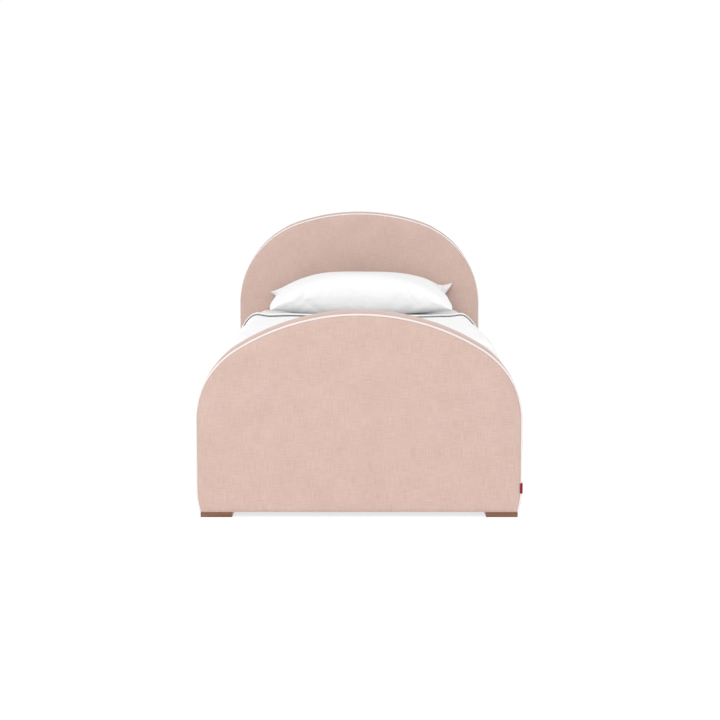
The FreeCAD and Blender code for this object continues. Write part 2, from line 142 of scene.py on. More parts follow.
def box_cloth_coordinates(obj):
    """Cloth coordinates for a boxy piece: each vertex takes the plane its normal faces."""
    co = points_of(obj)
    normals = np.array([v.normal for v in obj.data.vertices])
    uv = co[:, [0, 1]].copy()
    side = np.abs(normals[:, 0]) > 0.7
    end = np.abs(normals[:, 1]) > 0.7
    uv[side] = co[side][:, [2, 1]]
    uv[end] = co[end][:, [0, 2]]
    cloth_coordinates(obj, uv)


def apply_modifiers(obj):
    graph = bpy.context.evaluated_depsgraph_get()
    mesh = bpy.data.meshes.new_from_object(obj.evaluated_get(graph))
    obj.modifiers.clear()
    obj.data = mesh
    mesh.shade_smooth()


def solidify(obj, thickness, offset=-1.0):
    modifier = obj.modifiers.new("thickness", "SOLIDIFY")
    modifier.thickness = thickness
    modifier.offset = offset
    modifier.use_even_offset = False
    apply_modifiers(obj)


def subdivide(obj):
    modifier = obj.modifiers.new("smooth", "SUBSURF")
    modifier.levels = modifier.render_levels = 1
    apply_modifiers(obj)


def recalculate_normals(obj):
    bm = bmesh.new()
    bm.from_mesh(obj.data)
    bmesh.ops.recalc_face_normals(bm, faces=bm.faces)
    bm.to_mesh(obj.data)
    bm.free()


def wobble(x, y, z, size, seed=0.0):
    """Smooth noise from -1 to 1 at points, with bumps about size metres across."""
    return np.array([
        noise.noise(Vector((a / size + seed, b / size, c / size)))
        for a, b, c in np.broadcast(x, y, z)])


def turn_hem(bm, bottom):
    """Extrudes the boundary along the board's lower edge and gives its new vertices."""
    hem = [e for e in bm.edges
           if e.is_boundary and all(abs(v.co.z - bottom) < 0.1 * MM for v in e.verts)]
    made = bmesh.ops.extrude_edge_only(bm, edges=hem)["geom"]
    return [v for v in made if isinstance(v, bmesh.types.BMVert)]


def simulate(obj, pressure, frames, cap, grow=0.0, pinned=None):
    """Puffs a closed cloth mesh up and limits how far each point moves."""
    start = points_of(obj)
    if pinned is not None:
        group = obj.vertex_groups.new(name="pinned")
        group.add([int(i) for i in np.nonzero(pinned)[0]], 1.0, "REPLACE")
    cloth = obj.modifiers.new("cloth", "CLOTH")
    settings = cloth.settings
    settings.quality = 6
    settings.mass = 0.25
    settings.tension_stiffness = settings.compression_stiffness = 15.0
    settings.shear_stiffness = 5.0
    settings.bending_stiffness = 0.35
    settings.use_pressure = True
    settings.uniform_pressure_force = pressure
    settings.shrink_min = -grow
    settings.effector_weights.gravity = 0.0
    cloth.collision_settings.use_collision = False
    if pinned is not None:
        settings.vertex_group_mass = "pinned"
    scene.frame_start, scene.frame_end = 1, frames
    for f in range(1, frames + 1):
        scene.frame_set(f)
    apply_modifiers(obj)
    scene.frame_set(1)
    moved = points_of(obj) - start
    length = np.linalg.norm(moved, axis=1)
    share = np.minimum(1.0, cap / np.maximum(length, 1e-9))
    set_points(obj, start + moved * share[:, None])


# ======================================================================================
# Materials
# ======================================================================================
class Shader:
    """A small helper that adds nodes to one material."""

    def __init__(self, name):
        self.material = bpy.data.materials.new(name)
        self.material.use_nodes = True
        self.tree = self.material.node_tree
        self.bsdf = self.tree.nodes["Principled BSDF"]

    def node(self, kind, inputs=(), **settings):
        made = self.tree.nodes.new(kind)
        for key, value in settings.items():
            setattr(made, key, value)
        for key, value in dict(inputs).items():
            if isinstance(value, bpy.types.NodeSocket):
                self.tree.links.new(value, made.inputs[key])
            else:
                made.inputs[key].default_value = value
        return made

    def math(self, operation, a, b=0.0, c=0.0):
        return self.node("ShaderNodeMath", {0: a, 1: b, 2: c}, operation=operation).outputs[0]

    def mix(self, share, a, b):
        made = self.node("ShaderNodeMix", data_type="RGBA")
        for socket, value in ((made.inputs[0], share), (made.inputs[6], a), (made.inputs[7], b)):
            if isinstance(value, bpy.types.NodeSocket):
                self.tree.links.new(value, socket)
            else:
                socket.default_value = value if isinstance(value, float) else (*value, 1.0)
        return made.outputs[2]

    def noise(self, vector, scale, stretch=(1, 1, 1), detail=2.0, roughness=0.5):
        mapped = self.node("ShaderNodeMapping", {"Vector": vector, "Scale": stretch})
        made = self.node("ShaderNodeTexNoise", {
            "Vector": mapped.outputs[0], "Scale": scale, "Detail": detail, "Roughness": roughness})
        return made.outputs[0]

    def set(self, **values):
        for key, value in values.items():
            socket = self.bsdf.inputs[key.replace("_", " ")]
            if isinstance(value, bpy.types.NodeSocket):
                self.tree.links.new(value, socket)
            else:
                socket.default_value = (*value, 1.0) if isinstance(value, tuple) else value

    def bump(self, height, distance, strength=1.0):
        made = self.node("ShaderNodeBump", {
            "Height": height, "Distance": distance, "Strength": strength})
        self.tree.links.new(made.outputs[0], self.bsdf.inputs["Normal"])


def plain_weave(s, vector, pitch):
    """Height of a plain weave, -1 to 1, with one warp and one weft thread to each pitch."""
    split = s.node("ShaderNodeSeparateXYZ", {0: vector})
    turns = 2 * math.pi / pitch
    across = s.math("SINE", s.math("MULTIPLY", split.outputs[0], turns))
    along = s.math("SINE", s.math("MULTIPLY", split.outputs[1], turns))
    return s.math("MULTIPLY", across, along)


def linen(name, dark, light):
    """Slubby plain-weave linen: uneven threads both ways, soft mottling, a little sheen."""
    s = Shader(name)
    vector = s.node("ShaderNodeAttribute", attribute_name="cloth").outputs["Vector"]
    warp = s.noise(vector, 1.0, (620, 26, 1), detail=3.0, roughness=0.6)
    weft = s.noise(vector, 1.0, (30, 560, 1), detail=3.0, roughness=0.6)
    patches = s.noise(vector, 14.0, detail=3.0)
    threads = s.math("ADD", s.math("MULTIPLY", warp, 0.5), s.math("MULTIPLY", weft, 0.5))
    threads = s.math("MULTIPLY_ADD", s.math("SUBTRACT", threads, 0.5), 2.6, 0.5)
    share = s.math("ADD", threads, s.math("MULTIPLY", s.math("SUBTRACT", patches, 0.5), 0.55))
    weave = plain_weave(s, vector, 1.7 * MM)
    share = s.math("ADD", share, s.math("MULTIPLY", weave, 0.10))
    clamp = s.node("ShaderNodeClamp", {0: share}).outputs[0]
    s.set(Base_Color=s.mix(clamp, dark, light), Roughness=0.92, Specular_IOR_Level=0.18,
          Sheen_Weight=0.25, Sheen_Roughness=0.55)
    height = s.math("ADD", s.math("MULTIPLY", weave, 0.5), s.math("MULTIPLY", threads, 1.1))
    s.bump(height, 0.22 * MM, 0.8)
    return s.material


def cotton(name, dark, light, crinkle=1.0):
    """Washed cotton: a fine weave, faint uneven threads and small soft crinkles."""
    s = Shader(name)
    vector = s.node("ShaderNodeAttribute", attribute_name="cloth").outputs["Vector"]
    weave = plain_weave(s, vector, 0.9 * MM)
    threads = s.noise(vector, 1.0, (700, 40, 1), detail=2.0)
    cross = s.noise(vector, 1.0, (40, 700, 1), detail=2.0)
    soft = s.noise(vector, 24.0, detail=4.0, roughness=0.55)
    both_ways = s.math("MULTIPLY", s.math("ADD", threads, cross), 0.35)
    share = s.math("ADD", both_ways, s.math("MULTIPLY", soft, 0.3))
    s.set(Base_Color=s.mix(share, dark, light), Roughness=0.86, Specular_IOR_Level=0.2,
          Sheen_Weight=0.15, Sheen_Roughness=0.5)
    height = s.math("ADD", s.math("MULTIPLY", weave, 0.08), s.math("MULTIPLY", soft, 2.6 * crinkle))
    height = s.math("ADD", height, s.math("MULTIPLY", threads, 0.12))
    s.bump(height, 0.9 * MM, 0.55)
    return s.material


def cord_cloth(name, dark, light):
    """Bias-cut cloth round a piping cord: a diagonal twill line and fine threads."""
    s = Shader(name)
    vector = s.node("ShaderNodeAttribute", attribute_name="cloth").outputs["Vector"]
    split = s.node("ShaderNodeSeparateXYZ", {0: vector})
    slant = s.math("ADD", split.outputs[0], split.outputs[1])
    twill = s.math("SINE", s.math("MULTIPLY", slant, 2 * math.pi / (1.1 * MM)))
    fine = s.noise(vector, 900.0, detail=2.0)
    share = s.math("ADD", s.math("MULTIPLY", twill, 0.18), s.math("MULTIPLY", fine, 0.9))
    s.set(Base_Color=s.mix(share, dark, light), Roughness=0.85, Specular_IOR_Level=0.2,
          Sheen_Weight=0.2, Sheen_Roughness=0.5)
    s.bump(s.math("ADD", twill, fine), 0.12 * MM, 0.7)
    return s.material


def object_vector(s):
    return s.node("ShaderNodeTexCoord").outputs["Object"]


def wood(name, dark, light, along, ring=70.0, contrast=1.0, roughness=0.5, coat=0.0):
    """Planed timber whose grain runs along one axis: growth rings, fibres and pores."""
    s = Shader(name)
    vector = object_vector(s)
    stretch = [1.0, 1.0, 1.0]
    stretch["XYZ".index(along)] = 0.06
    rings = s.noise(vector, ring, stretch, detail=2.0, roughness=0.45)
    bands = s.math("SINE", s.math("MULTIPLY", rings, 34.0))
    fibre_stretch = [c if c == 1.0 else 0.02 for c in stretch]
    fibres = s.noise(vector, 1500.0, fibre_stretch, detail=3.0, roughness=0.65)
    share = s.math("ADD", s.math("MULTIPLY", bands, 0.22 * contrast), s.math("MULTIPLY", fibres, 0.55))
    share = s.node("ShaderNodeClamp", {0: s.math("ADD", share, 0.22)}).outputs[0]
    s.set(Base_Color=s.mix(share, dark, light), Specular_IOR_Level=0.4,
          Roughness=s.math("MULTIPLY_ADD", fibres, -0.18, roughness + 0.1), Coat_Weight=coat)
    s.bump(s.math("ADD", fibres, s.math("MULTIPLY", bands, 0.2)), 0.12 * MM, 0.5)
    return s.material


def plywood(name):
    """Rotary-cut birch ply: a faint figure on the faces and glue lines at the edges."""
    s = Shader(name)
    vector = object_vector(s)
    split = s.node("ShaderNodeSeparateXYZ", {0: vector})
    plies = s.math("SINE", s.math("MULTIPLY", split.outputs[1], 2 * math.pi / (2 * MM)))
    figure = s.noise(vector, 22.0, (1, 1, 0.2), detail=4.0)
    fibres = s.noise(vector, 900.0, (1, 1, 0.03), detail=2.0)
    share = s.math("ADD", s.math("MULTIPLY", figure, 0.7), s.math("MULTIPLY", fibres, 0.3))
    share = s.math("MULTIPLY_ADD", plies, 0.12, share)
    s.set(Base_Color=s.mix(share, (0.50, 0.33, 0.17), (0.74, 0.57, 0.36)), Roughness=0.6)
    s.bump(fibres, 0.1 * MM, 0.4)
    return s.material


def foam(name, colour):
    """Fine open cells, also used for fibre fill and plain ticking that the covers hide."""
    s = Shader(name)
    cells = s.node("ShaderNodeTexVoronoi", {"Vector": object_vector(s), "Scale": 900.0}).outputs[0]
    shade = tuple(c * 0.8 for c in colour)
    s.set(Base_Color=s.mix(cells, shade, colour), Roughness=0.95, Specular_IOR_Level=0.1)
    s.bump(cells, 0.4 * MM, 0.8)
    return s.material


def nonwoven(name):
    """Black spunbonded dust cover: matted fibres and a grid of tiny bond points."""
    s = Shader(name)
    vector = object_vector(s)
    fibres = s.noise(vector, 700.0, detail=5.0, roughness=0.7)
    dots = s.node("ShaderNodeTexVoronoi", {
        "Vector": vector, "Scale": 450.0, "Randomness": 0.15}).outputs[0]
    s.set(Base_Color=s.mix(fibres, (0.008, 0.008, 0.009), (0.035, 0.035, 0.037)), Roughness=0.9,
          Specular_IOR_Level=0.15)
    s.bump(s.math("ADD", fibres, dots), 0.2 * MM, 0.7)
    return s.material


def powder_coat(name):
    s = Shader(name)
    peel = s.noise(object_vector(s), 1400.0, detail=2.0)
    s.set(Base_Color=s.mix(peel, (0.016, 0.016, 0.017), (0.03, 0.03, 0.032)),
          Roughness=s.math("MULTIPLY_ADD", peel, 0.2, 0.38))
    s.bump(peel, 0.06 * MM, 0.6)
    return s.material


def zinc(name):
    s = Shader(name)
    vector = object_vector(s)
    bloom = s.noise(vector, 260.0, detail=3.0)
    s.set(Base_Color=s.mix(bloom, (0.50, 0.50, 0.47), (0.74, 0.74, 0.70)), Metallic=1.0,
          Roughness=s.math("MULTIPLY_ADD", bloom, 0.25, 0.25))
    s.bump(s.noise(vector, 2500.0), 0.03 * MM, 0.5)
    return s.material


def tape(name, dark, light):
    """Ribbed woven tape."""
    s = Shader(name)
    vector = s.node("ShaderNodeAttribute", attribute_name="cloth").outputs["Vector"]
    split = s.node("ShaderNodeSeparateXYZ", {0: vector})
    ribs = s.math("SINE", s.math("MULTIPLY", split.outputs[0], 2 * math.pi / (0.7 * MM)))
    fine = s.noise(vector, 1600.0, detail=2.0)
    share = s.math("ADD", s.math("MULTIPLY", ribs, 0.25), s.math("MULTIPLY", fine, 0.8))
    s.set(Base_Color=s.mix(share, dark, light), Roughness=0.8, Specular_IOR_Level=0.15)
    s.bump(s.math("ADD", ribs, fine), 0.1 * MM, 0.7)
    return s.material


PINK_DARK, PINK_LIGHT = (0.383, 0.267, 0.228), (0.491, 0.361, 0.318)
MATERIALS = {
    "upholstery_cloth": linen("upholstery_linen", PINK_DARK, PINK_LIGHT),
    "piping_cloth": cord_cloth("piping_twill", (0.56, 0.515, 0.50), (0.70, 0.66, 0.65)),
    "duvet_cotton": cotton("duvet_cotton", (0.66, 0.66, 0.66), (0.73, 0.73, 0.73)),
    "sheet_cotton": cotton("sheet_cotton", (0.65, 0.65, 0.65), (0.715, 0.715, 0.715), crinkle=0.6),
    "pillow_cotton": cotton("pillow_cotton", (0.63, 0.63, 0.63), (0.685, 0.685, 0.685)),
    "pillow_fill": foam("pillow_fill", (0.85, 0.85, 0.84)),
    "mattress_foam": foam("mattress_foam", (0.84, 0.80, 0.62)),
    "ticking": foam("mattress_ticking", (0.82, 0.82, 0.80)),
    "tab_cloth": tape("tab_tape", (0.14, 0.006, 0.012), (0.25, 0.014, 0.022)),
    "dust_cloth": nonwoven("dust_nonwoven"),
    "pad_foam": foam("pad_foam", (0.84, 0.78, 0.56)),
    "plywood": plywood("birch_plywood"),
    "frame_wood": wood("frame_pine", (0.50, 0.31, 0.14), (0.78, 0.59, 0.36), "Y", contrast=0.8),
    "slat_wood": wood("slat_pine", (0.54, 0.35, 0.17), (0.80, 0.62, 0.39), "X"),
    "foot_wood": wood("walnut", (0.074, 0.028, 0.0135), (0.235, 0.098, 0.05), "X", ring=46.0,
                      roughness=0.36, coat=0.15),
    "bracket_steel": powder_coat("black_powder_coat"),
    "zinc_steel": zinc("zinc_plate"),
}


def dress_cad_nodes():
    """Puts the material of its slot on every CAD node."""
    slots = {part["node"]: part["material_slot"] for part in frame["record"]["subparts"]}
    for node, obj in frame["nodes"].items():
        obj.data.materials.clear()
        obj.data.materials.append(MATERIALS[slots[node]])


def finish_piece(obj, slot, body, *nodes):
    """Material, body and the CAD nodes that the piece stands for."""
    obj.data.materials.clear()
    obj.data.materials.append(MATERIALS[slot])
    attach(obj, body)
    if nodes:
        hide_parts(*nodes)


# ======================================================================================
# Boards
# ======================================================================================
class Outline:
    """A board's arched outline, from its lower right corner over the crown to its lower left."""

    def __init__(self, board):
        low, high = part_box(board + "_edge_cover")
        front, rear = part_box(board + "_front_cover"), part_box(board + "_rear_cover")
        self.y0, self.y1 = front[0].y, rear[1].y
        self.half, self.top, self.bottom = high.x, high.z, low.z
        crown, haunch = CROWN_RADIUS[board], HAUNCH_RADIUS[board]
        crown_z, haunch_x = self.top - crown, self.half - haunch
        spring_z = crown_z + math.sqrt((crown - haunch) ** 2 - haunch_x ** 2)
        turn = math.atan2(spring_z - crown_z, haunch_x)
        draw = (CORNER_RISE ** 2 + CORNER_DRAW_IN ** 2) / (2 * CORNER_DRAW_IN)
        draw_z = self.bottom + CORNER_RISE
        points, normals = [], []

        def arc(cx, cz, radius, start, end):
            count = max(2, round(radius * abs(end - start) / OUTLINE_STEP))
            for i in range(count):
                a = start + (end - start) * i / count
                points.append((cx + radius * math.cos(a), cz + radius * math.sin(a)))
                normals.append((math.cos(a), math.sin(a)))

        arc(self.half - draw, draw_z, draw, -math.asin(CORNER_RISE / draw), 0)
        count = round((spring_z - draw_z) / OUTLINE_STEP)
        for i in range(count):
            points.append((self.half, draw_z + (spring_z - draw_z) * i / count))
            normals.append((1.0, 0.0))
        arc(haunch_x, spring_z, haunch, 0, turn)
        arc(0, crown_z, crown, turn, math.pi / 2)
        right, facing = np.array(points), np.array(normals)
        flip = np.array([-1.0, 1.0])
        crest = np.array([[0.0, self.top]])
        self.points = np.vstack([right, crest, (right * flip)[::-1]])
        self.normals = np.vstack([facing, [[0.0, 1.0]], (facing * flip)[::-1]])
        steps = np.linalg.norm(np.diff(self.points, axis=0), axis=1)
        self.lengths = np.concatenate([[0.0], np.cumsum(steps)])
        up = np.clip((self.normals[:, 1] - 0.3) / 0.65, 0, 1)
        self.swell = ARCH_SWELL * up * up * (3 - 2 * up)

    def inset(self, depth):
        """The outline moved inwards, by one depth or one for each point, kept flat at its foot."""
        depth = np.broadcast_to(depth, len(self.points))
        moved = self.points - self.normals * depth[:, None]
        ramp = np.clip(1 - (self.points[:, 1] - self.bottom) / CORNER_RISE, 0, 1)
        for end in (0, -1):
            side = np.sign(self.points[:, 0]) == np.sign(self.points[end, 0])
            moved[:, 1] += np.where(side, ramp * (self.bottom - moved[end, 1]), 0.0)
        return moved


def panel_field(outline, border, depth):
    """The field inside the last ring: a square grid joined to the ring, its first row at the foot.

    Gives its points, the number on the ring that each has, or None, and its triangles.
    """
    half = border[:, 0].max()
    xs = np.arange(-half, half, PANEL_GRID)
    xs -= xs.mean()
    deep = outline.inset(outline.swell + depth + 0.55 * PANEL_GRID)[:len(border) // 2 + 1]
    grid = []
    for z in np.arange(outline.bottom, border[:, 1].max(), PANEL_GRID):
        reach = np.interp(z, deep[:, 1], deep[:, 0], right=0.0)
        grid.append([Vector((x, z)) for x in xs if abs(x) < reach])
    loop = [Vector(p) for p in border] + grid[0]
    edges = [(i, (i + 1) % len(loop)) for i in range(len(loop))]
    inside = [p for row in grid[1:] for p in row]
    made, _, triangles, sources, _, _ = delaunay_2d_cdt(loop + inside, edges, [], 1, 1e-7)
    on_ring = [s[0] if s and s[0] < len(border) else None for s in sources]
    return made, on_ring, triangles


def panel_relief(x, z, rise, depth, seed):
    """How far behind its face the cloth lies: dipped beside the cord, crowned, a little uneven."""
    crown = PANEL_CROWN * (1 - np.exp(-depth / (13 * MM))) * (1 - 0.7 * np.exp(-rise / (12 * MM)))
    dip = SEAM_DIP * np.exp(-depth / (1.7 * MM)) + 1.0 * MM * np.exp(-rise / (2 * MM))
    soft = 0.55 * MM * wobble(x, seed, z, 0.16)
    pucker = 0.30 * MM * wobble(x, seed + 4, z, 0.018) * np.exp(-depth / (9 * MM))
    return dip - crown + (soft + pucker) * np.minimum(1, depth / (4 * MM))


def panel(board, outline, side, face, inward):
    """Cloth panel on one face: it dips beside the cord, crowns over its foam and turns under."""
    seed = 3.0 if side == "front" else 9.0
    insets = [PANEL_SEAM_INSET + d * MM for d in PANEL_RINGS]
    rings = [outline.inset(outline.swell + d) for d in insets]
    count = len(outline.points)
    points = [tuple(p) for ring in rings for p in ring]
    depths = [d - PANEL_SEAM_INSET for d in insets for _ in range(count)]
    faces = grid_faces(len(rings), count)

    made, on_ring, triangles = panel_field(outline, rings[-1], insets[-1])
    last_ring = (len(rings) - 1) * count
    index = []
    for p, place in zip(made, on_ring):
        if place is None:
            index.append(len(points))
            points.append((p.x, p.y))
            depths.append(insets[-1] - PANEL_SEAM_INSET + PANEL_FIELD_DEPTH)
        else:
            index.append(last_ring + place)
    faces += [tuple(index[i] for i in t) for t in triangles]

    x, z = np.array(points).T
    y = face + inward * panel_relief(x, z, z - outline.bottom, np.array(depths), seed)
    vertices = np.column_stack([x, y, z])
    obj = mesh_object(board + "_" + side + "_panel", vertices, faces)
    bm = bmesh.new()
    bm.from_mesh(obj.data)
    bmesh.ops.join_triangles(bm, faces=bm.faces[:], angle_face_threshold=0.7, angle_shape_threshold=0.7)
    for v in turn_hem(bm, outline.bottom):
        v.co.y = face + inward * HEM_UNDER
        v.co.z = outline.bottom + HEM_LIFT
    bmesh.ops.recalc_face_normals(bm, faces=bm.faces)
    if sum(f.normal.y * f.calc_area() for f in bm.faces) * inward > 0:
        bmesh.ops.reverse_faces(bm, faces=bm.faces)
    bm.to_mesh(obj.data)
    bm.free()
    co = points_of(obj)
    cloth_coordinates(obj, np.column_stack([co[:, 0] + 0.5 * seed, co[:, 2]]))
    solidify(obj, CLOTH)
    finish_piece(obj, "upholstery_cloth", "bed_frame", board + "_" + side + "_cover")


def edge_strip(board, outline):
    """Cloth strip round the edge, gently crowned between the two cords."""
    near, far = outline.y0 + 2 * CORD_RADIUS - 0.6 * MM, outline.y1 - 2 * CORD_RADIUS + 0.6 * MM
    half = (far - near) / 2
    steps = np.concatenate([STRIP_ROWS, np.linspace(9, half / MM, 6)]) * MM
    across = np.concatenate([near + steps, (far - steps[:-1])[::-1]])
    edge = np.minimum(across - near, far - across)
    count, s = len(outline.points), outline.lengths
    rows = []
    for y, e in zip(across, edge):
        dip = 2.4 * MM * math.exp(-e / (2.0 * MM)) - 0.8 * MM * (1 - math.exp(-e / (18 * MM)))
        dip += outline.swell * math.exp(-e / (4.5 * MM))
        pucker = 0.28 * MM * wobble(s, y, 5.0, 0.02) * math.exp(-e / (9 * MM))
        soft = 0.35 * MM * wobble(s, y, 1.0, 0.13)
        flat = outline.inset(dip + (pucker + soft) * min(1, e / (4 * MM)))
        rows.append(np.column_stack([flat[:, 0], np.full(count, y), flat[:, 1]]))
    obj = mesh_object(board + "_edge_strip", np.vstack(rows), grid_faces(len(rows), count))
    cloth_coordinates(obj, np.array([(length, y) for y in across for length in s]))
    bm = bmesh.new()
    bm.from_mesh(obj.data)
    for v in turn_hem(bm, outline.bottom):
        v.co.x -= math.copysign(HEM_UNDER, v.co.x)
        v.co.z += HEM_LIFT
    bmesh.ops.recalc_face_normals(bm, faces=bm.faces)
    upper = [f for f in bm.faces if f.calc_center_median().z > outline.top / 2]
    if sum(f.normal.z * f.calc_area() for f in upper) < 0:
        bmesh.ops.reverse_faces(bm, faces=bm.faces)
    bm.to_mesh(obj.data)
    bm.free()
    solidify(obj, CLOTH)
    finish_piece(obj, "upholstery_cloth", "bed_frame", board + "_edge_cover")


def piping(board, outline, side, y):
    """Cloth-covered cord in the seam, closed at both ends."""
    around = 14
    line = outline.inset(outline.swell + CORD_RADIUS)
    count = len(line)
    vertices, uv = [], []
    for i in range(count):
        nx, nz = outline.normals[i]
        swell = CORD_RADIUS * (1 + 0.025 * math.sin(outline.lengths[i] / (9 * MM)))
        for j in range(around):
            a = 2 * math.pi * j / around
            out, deep = swell * math.cos(a), swell * math.sin(a)
            vertices.append((line[i, 0] + out * nx, y + deep, line[i, 1] + out * nz))
            uv.append((outline.lengths[i], CORD_RADIUS * a))
    for k in (*range(around), *range((count - 1) * around, count * around)):
        x, cord_y, _ = vertices[k]
        vertices[k] = (x, cord_y, outline.bottom)
    faces = grid_faces(count, around, loop_columns=True)
    faces += [tuple(range(around)), tuple(reversed(range((count - 1) * around, count * around)))]
    obj = mesh_object(board + "_" + side + "_cord", vertices, faces)
    cloth_coordinates(obj, uv)
    recalculate_normals(obj)
    finish_piece(obj, "piping_cloth", "bed_frame", board + "_" + side + "_piping")


def make_board(board):
    outline = Outline(board)
    panel(board, outline, "front", outline.y0, 1)
    panel(board, outline, "rear", outline.y1, -1)
    edge_strip(board, outline)
    piping(board, outline, "front", outline.y0 + CORD_RADIUS)
    piping(board, outline, "rear", outline.y1 - CORD_RADIUS)


# ======================================================================================
# Side rails
# ======================================================================================
def rounded_loop(x0, x1, z0, z1, radius, step, bulge):
    """Points round a rounded rectangle, with its long sides bulging a little."""
    corners = [(x1 - radius, z1 - radius, 0), (x0 + radius, z1 - radius, 90),
               (x0 + radius, z0 + radius, 180), (x1 - radius, z0 + radius, 270)]
    points = []
    for cx, cz, start in corners:
        for k in range(7):
            a = math.radians(start + 15 * k)
            points.append((cx + radius * math.cos(a), cz + radius * math.sin(a)))
    dense = []
    for p, q in zip(points, points[1:] + points[:1]):
        gap = math.dist(p, q)
        parts = max(1, round(gap / step))
        dense += [(p[0] + (q[0] - p[0]) * i / parts, p[1] + (q[1] - p[1]) * i / parts)
                  for i in range(parts)]
    loop = np.array(dense)
    middle = (z0 + z1) / 2
    share = 1 - ((loop[:, 1] - middle) / ((z1 - z0) / 2)) ** 2
    loop[:, 0] += bulge * share * np.sign(loop[:, 0] - (x0 + x1) / 2)
    return loop


def rail_cover(name, side):
    """Cloth sleeve round one side rail."""
    low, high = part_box(name + "_rail_cover")
    loop = rounded_loop(low.x, high.x, low.z, high.z, 8 * MM, 9 * MM, 0.9 * MM)
    steps = np.linalg.norm(np.diff(loop, axis=0, append=loop[:1]), axis=1)
    lengths = np.concatenate([[0.0], np.cumsum(steps)[:-1]])
    ys = np.arange(low.y + 0.4 * MM, high.y, 12 * MM)
    ys = np.append(ys, high.y - 0.4 * MM)
    middle = np.array([(low.x + high.x) / 2, (low.z + high.z) / 2])
    rows = []
    for y in ys:
        end = min(y - low.y, high.y - y)
        outer = np.clip((loop[:, 0] - middle[0]) * side / (high.x - middle[0]), 0, 1)
        soft = 0.8 * MM * wobble(loop[:, 1], y, 2.0 + side, 0.11) * outer
        pucker = 0.5 * MM * wobble(loop[:, 1], y, 7.0 + side, 0.02) * outer * math.exp(-end / (25 * MM))
        away = loop - middle
        away /= np.linalg.norm(away, axis=1)[:, None]
        moved = loop + away * (soft + pucker)[:, None]
        rows.append(np.column_stack([moved[:, 0], np.full(len(loop), y), moved[:, 1]]))
    faces = grid_faces(len(ys), len(loop), loop_columns=True)
    obj = mesh_object(name + "_rail_cloth", np.vstack(rows), faces)
    cloth_coordinates(obj, np.array([(s, y) for y in ys for s in lengths]))
    recalculate_normals(obj)
    solidify(obj, CLOTH)
    finish_piece(obj, "upholstery_cloth", "bed_frame", name + "_rail_cover")


# ======================================================================================
# Bedding
# ======================================================================================
def rounded_block(name, low, high, radius, step):
    """A block with all its edges rounded, in even quads."""
    size = high - low
    counts = [max(2, round(c / step)) for c in size]
    vertices, faces, seen = [], [], {}

    def vertex(i, j, k):
        if (i, j, k) not in seen:
            seen[i, j, k] = len(vertices)
            vertices.append([i / counts[0], j / counts[1], k / counts[2]])
        return seen[i, j, k]

    for axis in range(3):
        a, b = [c for c in range(3) if c != axis]
        for end in (0, counts[axis]):
            for i in range(counts[a]):
                for j in range(counts[b]):
                    quad = []
                    for di, dj in ((0, 0), (1, 0), (1, 1), (0, 1)):
                        place = [0, 0, 0]
                        place[axis], place[a], place[b] = end, i + di, j + dj
                        quad.append(vertex(*place))
                    faces.append(tuple(quad))
    co = np.array(vertices) * np.array(size) + np.array(low)
    nearest = np.clip(co, np.array(low) + radius, np.array(high) - radius)
    away = co - nearest
    distance = np.linalg.norm(away, axis=1)
    outside = distance > 1e-9
    co[outside] = nearest[outside] + away[outside] * (radius / distance[outside])[:, None]
    obj = mesh_object(name, co, faces)
    recalculate_normals(obj)
    return obj


def fitted_sheet():
    """A fitted sheet stretched over the mattress, gathered at its elastic hem."""
    low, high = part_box("fitted_sheet")
    base = low.z
    block_low = Vector((low.x, low.y, base - 26 * MM))
    obj = rounded_block("bed_sheet", block_low, high, 23 * MM, 11 * MM)
    bm = bmesh.new()
    bm.from_mesh(obj.data)
    everything = bm.verts[:] + bm.edges[:] + bm.faces[:]
    bmesh.ops.bisect_plane(bm, geom=everything, plane_co=(0, 0, base), plane_no=(0, 0, -1), clear_outer=True)
    bm.to_mesh(obj.data)
    bm.free()
    co = points_of(obj)
    normals = np.array([v.normal for v in obj.data.vertices])
    below_top = high.z - co[:, 2]
    corner = np.exp(-(np.hypot(high.x - np.abs(co[:, 0]), high.y - np.abs(co[:, 1])) / 0.13))
    run = np.abs(co[:, 0]) - np.abs(co[:, 1])
    gathers = np.sin(run / (5.5 * MM)) * corner * np.clip(below_top / 0.1, 0, 1)
    soft = wobble(co[:, 0], co[:, 1], co[:, 2], 0.09)
    top_only = np.clip(normals[:, 2], 0, 1)
    shift = 1.0 * MM * gathers + 0.6 * MM * soft * (1 - top_only) - 0.5 * MM * top_only * np.abs(soft)
    set_points(obj, co + normals * shift[:, None])
    box_cloth_coordinates(obj)
    solidify(obj, 0.9 * MM)
    finish_piece(obj, "sheet_cotton", "mattress", "fitted_sheet")


def drape_line(half_width, shoulder_z, rail_x, rail_z, hem_z, step):
    """Half cross-section under the duvet: from its middle over the mattress and rail to the hem."""
    corner = 16 * MM
    anchors = [(0.0, shoulder_z), (half_width - corner, shoulder_z), (half_width, shoulder_z - corner),
               (rail_x, rail_z), (rail_x, hem_z)]
    path = [Vector((x, z)) for x, z in anchors]
    dense = []
    for p, q in zip(path, path[1:]):
        parts = max(2, round((q - p).length / step))
        dense += [p.lerp(q, i / parts) for i in range(parts)]
    dense.append(path[-1])
    line = np.array([(p.x, p.y) for p in dense])
    for _ in range(3):
        line[1:-1] = 0.25 * line[:-2] + 0.5 * line[1:-1] + 0.25 * line[2:]
    return line


